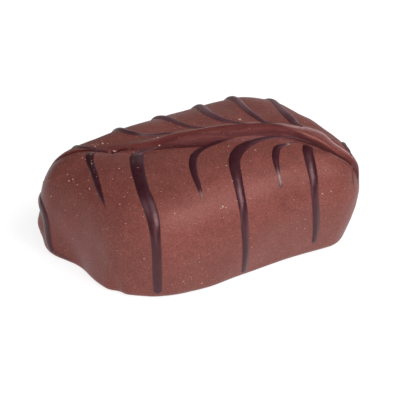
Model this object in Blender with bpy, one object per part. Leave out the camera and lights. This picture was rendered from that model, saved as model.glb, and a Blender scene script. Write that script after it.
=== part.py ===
"""Milk chocolate praline: one solid moulded by hand dipping, lying on its flat base.

The body is a low block whose plan is a parallelogram with round corners. Its
walls bulge over a slightly smaller foot and roll over wide shoulders into a
gently crowned top. A fold of chocolate, pushed up by a tool drawn once from
the left tip to the right tip, runs over the crown: steep on its near side,
low behind, flat topped towards the right tip.

The model lies with its long sides along X, +Z up, and its origin in the middle
of its bounding box on the table. Sizes are in millimetres up to the last step.
"""

import bpy
import bmesh
import math
import numpy as np

MM = 0.001

# ---------------------------------------------------------------- body sizes
HALF_LONG = 16.44          # half the long side, along X
HALF_SHORT = 11.33         # half the short side, along Y
HEIGHT = 14.24             # crown height before the shoulders are rounded in
SKEW = 0.20                # how far the short ends lean off square, X for each Y
CORNER_NEAR_LEFT = 7.25    # corner radii of the plan
CORNER_FAR_LEFT = 7.02
CORNER_NEAR_RIGHT = 5.73
CORNER_FAR_RIGHT = 7.23
BOW_ENDS = 0.05            # how far the ends and the sides bow out
BOW_SIDES = 0.02
TAPER = -0.53              # change of half the width towards the right end
CROWN_LONG = 1.16          # fall of the crown towards the ends, and its power
CROWN_LONG_POWER = 2.45
CROWN_SHORT = 1.65         # fall of the crown towards the sides, and its power
CROWN_SHORT_POWER = 2.52
CROWN_OFFSET = 3.32        # the crown's line lies this far behind the middle
RISE = 1.26                # the top rises this much from the middle to the right
WAIST = 9.35               # height at which the walls stand out furthest
FOOT_LEFT = 0.0            # how far the foot draws in under the wall
FOOT_RIGHT = 2.32
FOOT_SIDES = 1.59
FOOT_POWER = 1.89
LEAN_TOP = 0.93            # how far the wall leans in above the waist
SHOULDER = 5.45            # width of the rounding between wall and top
FOOT_EDGE = 0.8            # width of the rounding at the foot

# Hollows (+) and swellings (-) of the wall, as a hand-dipped piece has:
# x, y, z, spread in plan, spread in height, depth
DENTS = (
    (-15.8, 1.5, 0.0, 2.4, 3.0, 0.93),
    (-14.4, -6.1, 0.0, 0.6, 1.5, 0.45),
    (7.0, -9.2, 0.0, 3.6, 4.0, 0.53),
    (-4.5, -10.6, 0.0, 2.0, 3.0, -0.43),
    (-13.0, -8.1, 0.0, 1.0, 2.0, 0.20),
    (-18.3, 9.0, 3.0, 1.2, 1.3, -0.68),
    (10.5, 9.6, 0.0, 2.6, 3.0, 0.45),
    (-6.0, 10.8, 0.0, 3.0, 3.0, 0.40),
    (14.6, 3.5, 0.0, 2.0, 3.0, -0.40),
)

# ------------------------------------------------------------ the fold on top
DRAG_ANGLE = 29.0          # the tool's line, clockwise from the long side, degrees
# Stations along the tool's line: distance from the middle, sideways place of
# the crest, height, width of the steep near face, width of the flat top
FOLD = (
    (-18.6, 1.10, 0.04, 0.50, 0.0),
    (-15.5, 0.40, 0.14, 0.50, 0.0),
    (-10.4, -1.50, 0.18, 0.50, 0.0),
    (-6.2, -1.45, 0.50, 0.70, 0.0),
    (-2.6, -0.40, 0.88, 1.40, 0.0),
    (2.6, 0.50, 1.00, 1.45, 0.0),
    (7.6, 1.15, 0.95, 0.95, 0.05),
    (11.0, 1.05, 0.58, 0.55, 0.55),
    (13.6, 0.35, 0.42, 0.50, 1.15),
    (16.0, -0.45, 0.40, 0.50, 0.90),
    (18.6, 0.10, 0.35, 0.50, 0.45),
)
BACK = 1.9                 # width of the low back slope behind the fold
FURROW, FURROW_WIDTH = 0.07, 0.6   # depth and width of the furrow at its foot
FOLD_LOW, FOLD_FULL = 7.5, 11.0    # the fold fades out between these heights

# The body's middle is set so that the bounding box is centred on the origin
OFFSET_X, OFFSET_Y = 0.023, -0.087

# ------------------------------------------------------------------ mesh grid
GRID_LONG = 40             # cuts of the starting block along the tool's line
GRID_TALL = 12             # and in height
ROWS = (1.0, 0.87, 0.74, 0.61, 0.50, 0.40, 0.31, 0.23, 0.165, 0.11, 0.065, 0.03)

CENTRE_Z = 0.45 * HEIGHT
C, S = math.cos(math.radians(DRAG_ANGLE)), math.sin(math.radians(DRAG_ANGLE))


def smooth_max(a, b, k):
    h = np.maximum(k - np.abs(a - b), 0.0) / k
    return np.maximum(a, b) + h * h * k / 4.0


def plan(x, y):
    """Distance outside the parallelogram with round corners."""
    x = x + SKEW * y
    a = HALF_LONG + BOW_ENDS * (1 - np.clip(y / HALF_SHORT, -1, 1) ** 2)
    b = HALF_SHORT + BOW_SIDES * (1 - np.clip(x / HALF_LONG, -1, 1) ** 2) + TAPER * x / HALF_LONG
    r = np.where(
        x < 0,
        np.where(y < 0, CORNER_NEAR_LEFT, CORNER_FAR_LEFT),
        np.where(y < 0, CORNER_NEAR_RIGHT, CORNER_FAR_RIGHT),
    )
    qx, qy = np.abs(x) - a + r, np.abs(y) - b + r
    return np.minimum(np.maximum(qx, qy), 0) + np.hypot(np.maximum(qx, 0), np.maximum(qy, 0)) - r


def crown(x, y):
    return (
        HEIGHT
        - CROWN_LONG * np.abs(x / HALF_LONG) ** CROWN_LONG_POWER
        - CROWN_SHORT * np.abs((y - CROWN_OFFSET) / HALF_SHORT) ** CROWN_SHORT_POWER
        + RISE * x / HALF_LONG
    )


def inset(x, y, z):
    low = np.clip(1 - z / WAIST, 0, None) ** FOOT_POWER
    high = np.clip((z - WAIST) / (HEIGHT - WAIST), 0, None) ** 2
    wx = np.clip(np.abs(x) / HALF_LONG, 0, 1) ** 4
    wy = np.clip(np.abs(y) / HALF_SHORT, 0, 1) ** 4
    foot = (np.where(x > 0, FOOT_RIGHT, FOOT_LEFT) * wx + FOOT_SIDES * wy) / (wx + wy + 1e-6)
    return foot * low + LEAN_TOP * high


def dents(x, y, z):
    out = 0.0
    for cx, cy, cz, spread, tall, depth in DENTS:
        out = out + depth * np.exp(
            -((x - cx) ** 2 + (y - cy) ** 2) / (2 * spread ** 2) - (z - cz) ** 2 / (2 * tall ** 2)
        )
    return out


def field(p):
    """Below zero inside the body, zero on its surface."""
    x, y, z = p[..., 0], p[..., 1], p[..., 2]
    side = plan(x, y) + inset(x, y, z) + dents(x, y, z)
    return smooth_max(smooth_max(side, z - crown(x, y), SHOULDER), -z, FOOT_EDGE)


def slope(p):
    e = np.eye(3) * 1e-3
    g = np.stack([field(p + e[i]) - field(p - e[i]) for i in range(3)], -1)
    return g / np.linalg.norm(g, axis=-1, keepdims=True)


def station(along, column):
    """A size of the fold at a place along it, blended smoothly between stations."""
    xs = [row[0] for row in FOLD]
    ys = [row[column] for row in FOLD]
    n = len(xs)
    m = [0.0] * n
    for i in range(1, n - 1):
        m[i] = (ys[i + 1] - ys[i - 1]) / (xs[i + 1] - xs[i - 1])
    t = np.clip(along, xs[0], xs[-1])
    i = np.clip(np.searchsorted(xs, t) - 1, 0, n - 2)
    xa, ya, ma = np.array(xs), np.array(ys), np.array(m)
    w = xa[i + 1] - xa[i]
    u = (t - xa[i]) / w
    return (
        (2 * u**3 - 3 * u**2 + 1) * ya[i]
        + (u**3 - 2 * u**2 + u) * w * ma[i]
        + (3 * u**2 - 2 * u**3) * ya[i + 1]
        + (u**3 - u**2) * w * ma[i + 1]
    )


def ease(t):
    t = np.clip(t, 0.0, 1.0)
    return t * t * (3 - 2 * t)


def fold(along, off, z):
    """Height of the fold above the body; off is the distance behind its crest."""
    tall, face, flat = station(along, 2), station(along, 3), np.maximum(station(along, 4), 0)
    back = 1 - ease((off - flat) / BACK)
    front = 1 - ease(-off / face) ** 0.8
    furrow = FURROW * np.exp(-((off + face + 0.3) / FURROW_WIDTH) ** 2) * np.minimum(tall / 0.4, 1)
    return (tall * np.where(off > 0, back, front) - furrow) * ease((z - FOLD_LOW) / (FOLD_FULL - FOLD_LOW))


def to_body(q):
    """From the tool's line, straightened, to the body's own X and Y."""
    along, side, z = q[..., 0], q[..., 1] + station(q[..., 0], 1), q[..., 2]
    return np.stack([along * C + side * S, -along * S + side * C, z], -1)


def surface(way):
    """The body's point seen from its middle in each direction, with the fold."""
    middle = np.array([0.0, 0.0, CENTRE_Z])
    near, far = np.zeros(len(way)), np.full(len(way), 40.0)
    for _ in range(40):
        half = (near + far) / 2
        inside = field(to_body(middle + way * half[:, None])) < 0
        near, far = np.where(inside, half, near), np.where(inside, far, half)
    q = middle + way * ((near + far) / 2)[:, None]
    p = to_body(q)
    return p + slope(p) * fold(q[:, 0], q[:, 1], q[:, 2])[:, None]


def main():
    for o in list(bpy.data.objects):
        bpy.data.objects.remove(o, do_unlink=True)
    group = bpy.data.collections.new("Praline")
    bpy.context.scene.collection.children.link(group)

    # A block cut into a grid, with close rows along the fold
    bm = bmesh.new()
    bmesh.ops.create_cube(bm, size=2.0)
    cuts = [((-1 + 2 * i / GRID_LONG, 0, 0), (1, 0, 0)) for i in range(1, GRID_LONG)]
    cuts += [((0, s * r, 0), (0, 1, 0)) for r in ROWS[1:] for s in (-1, 1)] + [((0, 0, 0), (0, 1, 0))]
    cuts += [((0, 0, -1 + 2 * i / GRID_TALL), (0, 0, 1)) for i in range(1, GRID_TALL)]
    for co, no in cuts:
        bmesh.ops.bisect_plane(bm, geom=bm.verts[:] + bm.edges[:] + bm.faces[:], plane_co=co, plane_no=no)

    # The block is blown up to the praline's surface
    block = np.array([v.co[:] for v in bm.verts])
    spread = np.sin(block[:, 0] * math.pi / 2 * 0.62) / math.sin(math.pi / 2 * 0.62)
    way = np.stack([spread * 18.5, block[:, 1] * 12.0, block[:, 2] * 6.6], -1)
    way /= np.linalg.norm(way, axis=1, keepdims=True)
    for v, p in zip(bm.verts, surface(way)):
        v.co = ((p[0] + OFFSET_X) * MM, (p[1] + OFFSET_Y) * MM, max(p[2], 0.0) * MM)
    bmesh.ops.recalc_face_normals(bm, faces=bm.faces)
    bmesh.ops.triangulate(bm, faces=bm.faces, quad_method="SHORT_EDGE")

    mesh = bpy.data.meshes.new("praline")
    bm.to_mesh(mesh)
    bm.free()
    mesh.shade_smooth()
    mesh.set_sharp_from_angle(angle=math.radians(50))

    milk = bpy.data.materials.new("milk_chocolate")
    milk.use_nodes = True
    shader = milk.node_tree.nodes["Principled BSDF"]
    shader.inputs["Base Color"].default_value = (0.235, 0.085, 0.060, 1.0)
    shader.inputs["Roughness"].default_value = 0.42
    shader.inputs["Metallic"].default_value = 0.0
    mesh.materials.append(milk)

    praline = bpy.data.objects.new("praline", mesh)
    group.objects.link(praline)


main()
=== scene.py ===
"""Looks of the milk chocolate praline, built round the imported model.

The skin repeats the praline's shape at a finer grid and adds what the solid
leaves out: the streaks and lips that the tool left on the fold, small
unevenness of the coat and a pit. Dark chocolate lines are draped over it as
closed bodies, dragged along the fold where the tool crossed them, and pale
crumbs sit half sunk in it. Sizes are in millimetres up to the last step.
"""

import bpy
import math
import numpy as np
from mathutils import Matrix, Vector


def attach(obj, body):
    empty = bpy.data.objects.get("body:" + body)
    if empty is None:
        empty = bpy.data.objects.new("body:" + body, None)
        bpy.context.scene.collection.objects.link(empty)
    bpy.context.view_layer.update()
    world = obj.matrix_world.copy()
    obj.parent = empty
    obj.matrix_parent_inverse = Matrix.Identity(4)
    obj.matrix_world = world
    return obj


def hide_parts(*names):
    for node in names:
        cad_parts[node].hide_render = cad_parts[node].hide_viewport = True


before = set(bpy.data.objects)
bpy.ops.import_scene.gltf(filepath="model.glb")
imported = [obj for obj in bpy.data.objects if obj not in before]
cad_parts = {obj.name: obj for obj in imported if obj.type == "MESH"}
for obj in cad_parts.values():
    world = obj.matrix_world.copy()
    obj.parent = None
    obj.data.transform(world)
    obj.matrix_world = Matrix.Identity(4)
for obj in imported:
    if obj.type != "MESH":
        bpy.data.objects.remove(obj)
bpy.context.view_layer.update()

MM = 0.001

# ------------------------------------------------ body sizes, as in the solid
HALF_LONG = 16.44
HALF_SHORT = 11.33
HEIGHT = 14.24
SKEW = 0.20
CORNER_NEAR_LEFT = 7.25
CORNER_FAR_LEFT = 7.02
CORNER_NEAR_RIGHT = 5.73
CORNER_FAR_RIGHT = 7.23
BOW_ENDS = 0.05
BOW_SIDES = 0.02
TAPER = -0.53
CROWN_LONG = 1.16
CROWN_LONG_POWER = 2.45
CROWN_SHORT = 1.65
CROWN_SHORT_POWER = 2.52
CROWN_OFFSET = 3.32
RISE = 1.26
WAIST = 9.35
FOOT_LEFT = 0.0
FOOT_RIGHT = 2.32
FOOT_SIDES = 1.59
FOOT_POWER = 1.89
LEAN_TOP = 0.93
SHOULDER = 5.45
FOOT_EDGE = 0.8
DENTS = (
    (-15.8, 1.5, 0.0, 2.4, 3.0, 0.93),
    (-14.4, -6.1, 0.0, 0.6, 1.5, 0.45),
    (7.0, -9.2, 0.0, 3.6, 4.0, 0.53),
    (-4.5, -10.6, 0.0, 2.0, 3.0, -0.43),
    (-13.0, -8.1, 0.0, 1.0, 2.0, 0.20),
    (-18.3, 9.0, 3.0, 1.2, 1.3, -0.68),
    (10.5, 9.6, 0.0, 2.6, 3.0, 0.45),
    (-6.0, 10.8, 0.0, 3.0, 3.0, 0.40),
    (14.6, 3.5, 0.0, 2.0, 3.0, -0.40),
)
DRAG_ANGLE = 29.0
# along, crest's sideways place, height, width of near face, width of flat top
FOLD = (
    (-18.6, 1.10, 0.04, 0.50, 0.0),
    (-15.5, 0.40, 0.14, 0.50, 0.0),
    (-10.4, -1.50, 0.18, 0.50, 0.0),
    (-6.2, -1.45, 0.50, 0.70, 0.0),
    (-2.6, -0.40, 0.88, 1.40, 0.0),
    (2.6, 0.50, 1.00, 1.45, 0.0),
    (7.6, 1.15, 0.95, 0.95, 0.05),
    (11.0, 1.05, 0.58, 0.55, 0.55),
    (13.6, 0.35, 0.42, 0.50, 1.15),
    (16.0, -0.45, 0.40, 0.50, 0.90),
    (18.6, 0.10, 0.35, 0.50, 0.45),
)
BACK = 1.9
FURROW, FURROW_WIDTH = 0.07, 0.6
FOLD_LOW, FOLD_FULL = 7.5, 11.0
OFFSET_X, OFFSET_Y = 0.023, -0.087
CENTRE_Z = 0.45 * HEIGHT
C, S = math.cos(math.radians(DRAG_ANGLE)), math.sin(math.radians(DRAG_ANGLE))

# --------------------------------------------------------- sizes of the looks
LINE_LEAN = -0.35          # the dark lines cross the fold at this slant
LINE_SINK = 0.16           # how deep their undersides lie in the coat
NEAR_SHIFT, NEAR_WIDER = -0.05, 0.14
FAR_SHIFT, FAR_WIDER = -0.20, 0.08
FAR_PULL = 0.22            # the far lines' drawn-out ends lie this much nearer the crest
COLUMNS = 172              # cells of the skin along the tool's line
TALL = 44                  # and in height

# The dark lines: where each crosses the fold, then stations down the near (-)
# or the far (+) side: way from the crest, shift along the fold, width, height
LINES = {
    "near_1": (-14.4, ((-0.78, 1.20, 1.22, 0.16), (-1.5, 0.91, 1.10, 0.24), (-2.7, 0.63, 0.92, 0.25),
                       (-4.6, 0.48, 0.80, 0.25), (-8.2, 0.25, 0.62, 0.20), (-10.0, 0.28, 0.35, 0.14),
                       (-11.3, 0.41, 0.05, 0.03))),
    "near_2": (-9.5, ((-0.62, 4.3, 0.12, 0.05), (-0.80, 2.9, 0.50, 0.12), (-1.2, 1.95, 1.20, 0.20),
                      (-1.9, 1.47, 1.60, 0.28), (-2.8, 1.14, 1.62, 0.30), (-4.9, 0.62, 1.55, 0.30),
                      (-8.6, 0.05, 1.46, 0.32), (-10.4, 0.02, 1.50, 0.34), (-12.5, 0.02, 1.40, 0.34),
                      (-15.2, -0.11, 1.08, 0.30), (-17.8, -0.12, 1.06, 0.28), (-20.7, 0.04, 1.03, 0.26),
                      (-22.6, 0.15, 0.95, 0.18))),
    "near_3": (-3.3, ((-1.15, 6.9, 0.10, 0.04), (-1.27, 6.03, 0.30, 0.08), (-1.5, 5.12, 0.45, 0.12),
                      (-2.05, 3.75, 0.60, 0.16), (-2.6, 2.62, 0.70, 0.18), (-3.5, 1.49, 0.85, 0.22),
                      (-5.1, 0.61, 0.88, 0.24), (-6.9, 0.17, 0.78, 0.22), (-8.6, 0.01, 0.60, 0.20),
                      (-9.9, -0.03, 0.35, 0.16), (-10.7, -0.05, 0.10, 0.08))),
    "near_4": (1.9, ((-0.45, 11.2, 0.08, 0.04), (-0.55, 9.3, 0.25, 0.08), (-0.88, 7.1, 0.35, 0.10),
                     (-1.5, 4.9, 0.60, 0.16), (-2.3, 3.3, 0.95, 0.24), (-3.4, 1.64, 1.35, 0.30),
                     (-4.95, 0.42, 1.35, 0.30), (-6.5, -0.09, 1.30, 0.30), (-8.4, -0.33, 1.15, 0.30),
                     (-10.1, -0.46, 1.05, 0.30), (-12.9, -0.54, 0.98, 0.28), (-14.6, -0.52, 0.92, 0.28),
                     (-16.5, -0.35, 0.86, 0.26), (-18.5, -0.22, 0.84, 0.24), (-20.8, -0.12, 0.72, 0.18))),
    "near_5": (7.2, ((-0.6, 5.45, 0.10, 0.04), (-1.4, 3.9, 0.20, 0.06), (-2.38, 2.13, 0.35, 0.10),
                     (-3.0, 0.98, 0.70, 0.20), (-3.56, 0.55, 0.82, 0.24), (-4.7, 0.05, 0.80, 0.24),
                     (-6.2, -0.26, 0.55, 0.20), (-7.7, -0.34, 0.34, 0.16), (-8.5, -0.37, 0.42, 0.20),
                     (-8.8, -0.37, 0.25, 0.08))),
    "near_6": (11.8, ((-1.42, 0.52, 1.15, 0.14), (-1.7, 0.38, 1.20, 0.24), (-2.5, 0.11, 1.22, 0.28),
                      (-4.2, -0.04, 1.25, 0.30), (-6.2, -0.14, 1.10, 0.30), (-8.2, -0.24, 0.93, 0.28),
                      (-11.0, 0.05, 0.90, 0.28), (-13.7, 0.29, 0.74, 0.26), (-15.5, 0.29, 0.66, 0.20))),
    "near_7": (17.2, ((-0.34, 0.86, 0.30, 0.14), (-0.60, 0.78, 0.36, 0.17), (-0.94, 0.70, 0.34, 0.17),
                      (-2.0, 0.57, 0.28, 0.15), (-2.8, 0.48, 0.20, 0.13), (-3.4, 0.43, 0.08, 0.07))),
    "far_0": (-14.4, ((-0.3, 3.87, 0.10, 0.04), (-0.15, 2.6, 0.28, 0.08), (0.0, 1.8, 0.42, 0.12),
                      (0.93, 0.75, 0.55, 0.13), (2.66, 0.50, 0.60, 0.13), (6.0, 0.20, 0.85, 0.24),
                      (10.0, 0.10, 0.80, 0.24), (13.6, 0.10, 0.50, 0.16))),
    "far_1": (-9.5, ((1.60, 8.1, 0.08, 0.03), (1.77, 7.5, 0.25, 0.08), (2.27, 6.25, 0.44, 0.12),
                     (2.82, 4.3, 0.60, 0.18), (3.45, 3.3, 0.70, 0.22), (4.5, 2.4, 0.80, 0.26),
                     (6.8, 1.95, 0.95, 0.28), (10.0, 1.5, 0.95, 0.28), (14.0, 1.2, 0.80, 0.24),
                     (17.8, 1.1, 0.60, 0.18))),
    "far_2": (-3.3, ((1.5, 5.4, 0.10, 0.04), (1.76, 4.67, 0.30, 0.10), (2.35, 3.47, 0.50, 0.16),
                     (3.28, 2.62, 0.65, 0.22), (4.4, 1.84, 0.85, 0.27), (7.05, 1.3, 1.00, 0.29),
                     (11.0, 1.1, 0.95, 0.28), (13.5, 1.0, 0.45, 0.16), (14.2, 1.0, 0.15, 0.06))),
    "far_3": (1.9, ((1.95, 4.4, 0.12, 0.05), (2.23, 3.55, 0.45, 0.12), (3.2, 2.18, 0.80, 0.22),
                    (4.18, 1.60, 1.00, 0.26), (5.7, 1.06, 1.20, 0.28), (9.3, 1.14, 1.10, 0.28),
                    (14.0, 0.9, 0.90, 0.27), (19.0, 0.8, 0.80, 0.24), (22.6, 0.8, 0.55, 0.16))),
    "far_4": (7.2, ((1.5, 2.6, 0.15, 0.05), (1.88, 1.88, 0.45, 0.14), (2.36, 1.21, 0.65, 0.20),
                    (4.7, 0.51, 0.80, 0.25), (6.4, 0.29, 0.85, 0.27), (10.2, 0.17, 0.90, 0.28),
                    (15.0, 0.1, 0.80, 0.25), (19.5, 0.0, 0.60, 0.20))),
    "far_5": (11.8, ((1.30, 0.76, 0.08, 0.03), (1.48, 0.70, 0.34, 0.08), (1.85, 0.58, 0.64, 0.16),
                     (2.3, 0.42, 0.95, 0.24), (3.1, 0.29, 1.12, 0.28),
                     (4.65, 0.14, 1.22, 0.28), (6.1, 0.10, 1.16, 0.26), (9.4, 0.12, 0.95, 0.24),
                     (14.0, 0.0, 1.00, 0.28), (20.0, 0.0, 0.85, 0.25), (24.3, 0.0, 0.60, 0.16))),
    "far_6": (17.2, ((0.55, 0.75, 0.20, 0.06), (0.9, 0.72, 0.50, 0.12), (1.6, 0.72, 0.80, 0.20),
                     (2.6, 0.85, 0.95, 0.24), (3.8, 1.25, 0.95, 0.24), (5.2, 1.75, 0.75, 0.20),
                     (6.4, 2.1, 0.30, 0.08))),
}
# Painted sheen: how strongly the dark lines behind the fold are drawn paler
FAR_SHEEN_STRENGTH = {"far_0": 0.5, "far_1": 0.35}
# Lines whose upper end is cut off square, and parts with painted sheen: way from the crest, spread, strength
BLUNT = ("near_1", "near_6")
PAINTED_SHEEN = {
    "near_1": ((-0.80, 0.60, 1.6),),
    "near_2": ((-1.2, 0.60, 0.85), (-3.0, 1.0, 0.20), (-11.2, 1.2, 0.42)),
    "near_4": ((-1.3, 0.7, 0.35), (-2.0, 0.5, 0.25)),
    "near_5": ((-2.3, 0.6, 0.45),),
    "near_6": ((-1.45, 0.20, 0.9),),
}
# Lines that are a thin film all along
WORN = {"near_7": 0.9}
# and parts with painted pink highlights and painted bright spots
PAINTED_GLINTS = {
    "near_3": ((-10.4, 0.5, 0.7),),
    "near_5": ((-7.7, 0.75, 0.85), (-2.22, 0.10, 1.0)),
    "far_1": ((3.0, 0.35, 0.3),),
}

# The line at the left end, given as places to aim at from inside the body:
# along, crest's distance, height above the table, width, height of the line
END_LINE = (
    (-21.2, 4.6, 0.4, 0.30, 0.08), (-21.1, 4.2, 2.0, 0.80, 0.22), (-20.8, 3.3, 3.5, 1.15, 0.28),
    (-20.35, 1.9, 4.6, 1.40, 0.32), (-19.8, 0.2, 5.5, 1.60, 0.34), (-19.35, -1.3, 5.95, 1.70, 0.34),
    (-18.98, -2.55, 5.95, 1.75, 0.32), (-18.64, -3.55, 5.5, 1.70, 0.30), (-18.38, -4.08, 4.6, 1.60, 0.30),
    (-18.25, -4.22, 3.1, 1.45, 0.30), (-18.05, -4.36, 1.7, 1.30, 0.28), (-17.80, -4.60, 0.95, 1.00, 0.18),
    (-17.50, -4.85, 0.72, 0.30, 0.06),
)

# Painted shade in the hollow just above the foot: along, height above the table, half width, strength
FOOT_SHADE = (
    (-18.0, 0.95, 0.10, 0.0), (-17.5, 0.88, 0.14, 0.8), (-16.8, 0.74, 0.15, 0.9), (-16.2, 0.62, 0.17, 0.9),
    (-15.7, 0.52, 0.16, 0.9), (-15.2, 0.42, 0.12, 0.6), (-14.7, 0.32, 0.10, 0.0),
)

# And down the edge of the right end: height above the table, distance behind the
# crest, half width, strength
END_SHADE = (
    (7.9, -0.42, 0.12, 0.0), (8.4, -0.26, 0.16, 0.7), (9.0, -0.08, 0.19, 0.85), (9.5, 0.05, 0.20, 0.9),
    (10.0, 0.24, 0.24, 0.9), (10.5, 0.48, 0.26, 0.5), (11.0, 0.70, 0.26, 0.0),
)

# Lines in the coat that follow the fold, some of them painted light and shade: along,
# distance behind (+) or before (-) the crest, half width, strength
FACE = (        # scraped near face: along, its foot, its upper edge, strength
    (-8.6, -0.40, 0.00, 0.0), (-6.6, -0.75, 0.00, 0.6), (-4.75, -1.35, 0.00, 1.0), (-3.2, -1.75, 0.00, 1.0),
    (-1.8, -2.05, 0.00, 1.0), (1.1, -2.20, 0.05, 1.0), (2.6, -1.65, 0.40, 1.0), (4.1, -1.14, 0.75, 1.0),
    (7.0, -0.98, 0.85, 1.0), (8.8, -1.00, 0.45, 1.0), (10.0, -1.00, 0.25, 1.0), (11.2, -1.00, 0.12, 1.0),
    (12.4, -1.00, -0.10, 1.0), (13.5, -0.82, -0.10, 1.0), (14.3, -0.75, -0.08, 1.0), (15.3, -0.38, 0.00, 0.9),
    (16.2, -0.34, 0.10, 0.8), (17.2, -0.32, 0.15, 0.75), (18.0, -0.45, 0.20, 0.7), (18.6, -0.60, 0.30, 0.6),
)
SCRAPE = (      # thin coat scraped to a dark red just under the crest
    (-18.4, -0.42, 0.16, 0.7), (-15.9, -0.34, 0.18, 1.0), (-14.3, -0.27, 0.14, 1.0),
    (-12.4, -0.24, 0.14, 1.0), (-10.8, -0.24, 0.14, 0.8), (-8.7, -0.10, 0.14, 0.7),
    (-7.1, -0.14, 0.14, 0.7), (-5.9, -0.25, 0.15, 0.9), (-4.2, -0.44, 0.22, 1.0),
    (-1.8, -0.30, 0.15, 0.9), (1.1, -0.16, 0.14, 0.55), (4.1, 0.10, 0.20, 0.25),
    (7.0, 0.15, 0.20, 0.2), (8.8, 0.05, 0.12, 0.2), (10.0, -0.05, 0.12, 0.15), (11.2, -0.12, 0.10, 0.15),
    (12.4, -0.24, 0.06, 0.2), (13.5, -0.28, 0.06, 0.2), (14.3, -0.26, 0.06, 0.3), (15.3, -0.22, 0.09, 0.5),
    (16.7, -0.16, 0.08, 0.6), (18.4, -0.24, 0.08, 0.6),
)
RED = (         # thinner, redder coat on the crest
    (-13.8, 0.40, 0.40, 0.0), (-12.4, 0.40, 0.45, 0.6), (-10.6, 0.42, 0.55, 0.95), (-9.4, 0.30, 0.60, 0.8),
    (-8.3, 0.05, 0.65, 0.7), (-6.2, -0.10, 0.45, 0.5), (-5.0, -0.2, 0.3, 0.2), (-1.8, -0.2, 0.2, 0.3),
    (1.1, -0.10, 0.25, 0.7), (4.1, 0.20, 0.50, 0.85), (7.0, 0.25, 0.52, 0.85), (8.8, 0.10, 0.30, 0.85),
    (10.0, 0.00, 0.18, 0.8), (11.2, 0.10, 0.16, 0.6), (12.4, 0.18, 0.20, 0.3), (13.6, 0.25, 0.20, 0.1),
    (14.6, 0.20, 0.18, 0.2), (15.3, 0.10, 0.16, 0.4), (16.2, 0.08, 0.20, 0.6), (17.2, 0.12, 0.16, 0.75),
    (18.0, 0.05, 0.3, 0.8), (18.7, 0.10, 0.5, 0.8),
)
CREASE = (      # dark chocolate gathered where the fold meets the near side, darkened further by painted shadow under the fold
    (-14.8, -0.30, 0.08, 0.0), (-13.9, -0.27, 0.09, 0.7), (-12.4, -0.28, 0.10, 0.95), (-11.4, -0.32, 0.10, 0.95),
    (-10.6, -0.46, 0.15, 0.9), (-9.6, -0.24, 0.16, 0.9), (-8.4, -0.25, 0.16, 0.8), (-7.2, -0.38, 0.15, 0.6),
    (-6.4, -0.52, 0.13, 0.5), (-5.6, -0.66, 0.16, 0.5), (-4.7, -0.82, 0.26, 0.35),
    (-3.2, -1.20, 0.30, 0.5), (-1.8, -1.60, 0.26, 0.6), (-0.2, -1.85, 0.18, 0.6),
    (1.1, -2.00, 0.14, 0.4), (2.2, -1.85, 0.1, 0.0), (8.2, -0.95, 0.10, 0.0),
    (9.4, -0.86, 0.13, 0.5), (10.0, -0.78, 0.18, 0.8), (11.2, -0.60, 0.24, 0.95),
    (12.4, -0.60, 0.28, 1.0), (13.5, -0.57, 0.23, 1.0), (14.3, -0.54, 0.21, 1.0),
    (15.3, -0.32, 0.085, 1.0), (16.2, -0.25, 0.08, 1.0), (17.2, -0.26, 0.085, 1.0),
    (18.4, -0.30, 0.08, 0.7),
)
LIP = (         # thin raised edge below that crease, with a painted highlight
    (-14.6, -1.0, 0.3, 0.0), (-13.4, -1.0, 0.36, 0.55), (-12.2, -1.02, 0.40, 0.75), (-10.4, -0.76, 0.30, 0.8),
    (-8.7, -1.05, 0.22, 0.5), (-7.4, -1.3, 0.2, 0.0), (11.4, -1.75, 0.12, 0.0),
    (12.4, -1.36, 0.12, 0.6), (13.5, -0.92, 0.12, 0.6), (14.3, -0.68, 0.06, 0.6),
    (15.3, -0.40, 0.04, 0.8), (16.2, -0.35, 0.045, 1.0), (17.2, -0.365, 0.045, 1.0),
    (17.9, -0.39, 0.05, 0.8), (18.2, -0.40, 0.06, 0.0),
)
UNDER = (       # coat in the shade under the crease
    (10.4, -1.00, 0.20, 0.0), (11.3, -1.06, 0.26, 0.6), (12.2, -1.15, 0.26, 0.6), (13.4, -1.50, 0.70, 0.45),
    (14.3, -1.00, 0.30, 0.5), (15.3, -0.54, 0.15, 0.7),
    (16.2, -0.50, 0.12, 0.6), (17.2, -0.48, 0.11, 0.6), (18.0, -0.52, 0.12, 0.4), (18.5, -0.60, 0.2, 0.5),
)
GLOW = (        # painted light on the slope below the scraped face
    (2.6, -1.80, 0.30, 0.0), (4.1, -1.68, 0.40, 0.7), (5.6, -1.40, 0.34, 0.75), (7.0, -1.18, 0.24, 0.75),
    (8.8, -1.45, 0.30, 0.6), (10.0, -1.65, 0.38, 0.6), (11.2, -1.60, 0.3, 0.3), (12.0, -1.5, 0.3, 0.0),
)
RIM = (         # raised edge behind the crest with a painted highlight, which becomes the far lip
    (-5.0, 1.2, 0.40, 0.0), (-3.4, 1.1, 0.60, 0.2), (-1.8, 1.15, 0.75, 0.32),
    (1.1, 1.25, 0.80, 0.40), (3.0, 1.45, 0.60, 0.5), (4.6, 1.60, 0.45, 0.6), (7.0, 1.55, 0.42, 0.65),
    (8.8, 1.00, 0.36, 0.75), (10.0, 0.66, 0.32, 0.8), (11.2, 0.70, 0.26, 0.9),
    (12.4, 1.22, 0.36, 0.85), (13.5, 1.40, 0.28, 1.0), (14.3, 1.40, 0.26, 1.0),
    (15.3, 0.92, 0.13, 1.0), (16.2, 0.82, 0.10, 1.0), (17.2, 0.60, 0.10, 1.0),
    (18.4, 0.66, 0.11, 0.6),
)
SHADOW_BEHIND_LIP = (      # painted shadow: a narrow dark line where the far lip meets the coat behind it
    (13.6, 2.2, 0.2, 0.0), (14.6, 1.85, 0.14, 0.6), (15.3, 1.25, 0.12, 0.7), (16.2, 1.02, 0.09, 0.5),
    (17.0, 0.9, 0.08, 0.2), (17.6, 0.9, 0.08, 0.0),
)
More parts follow.
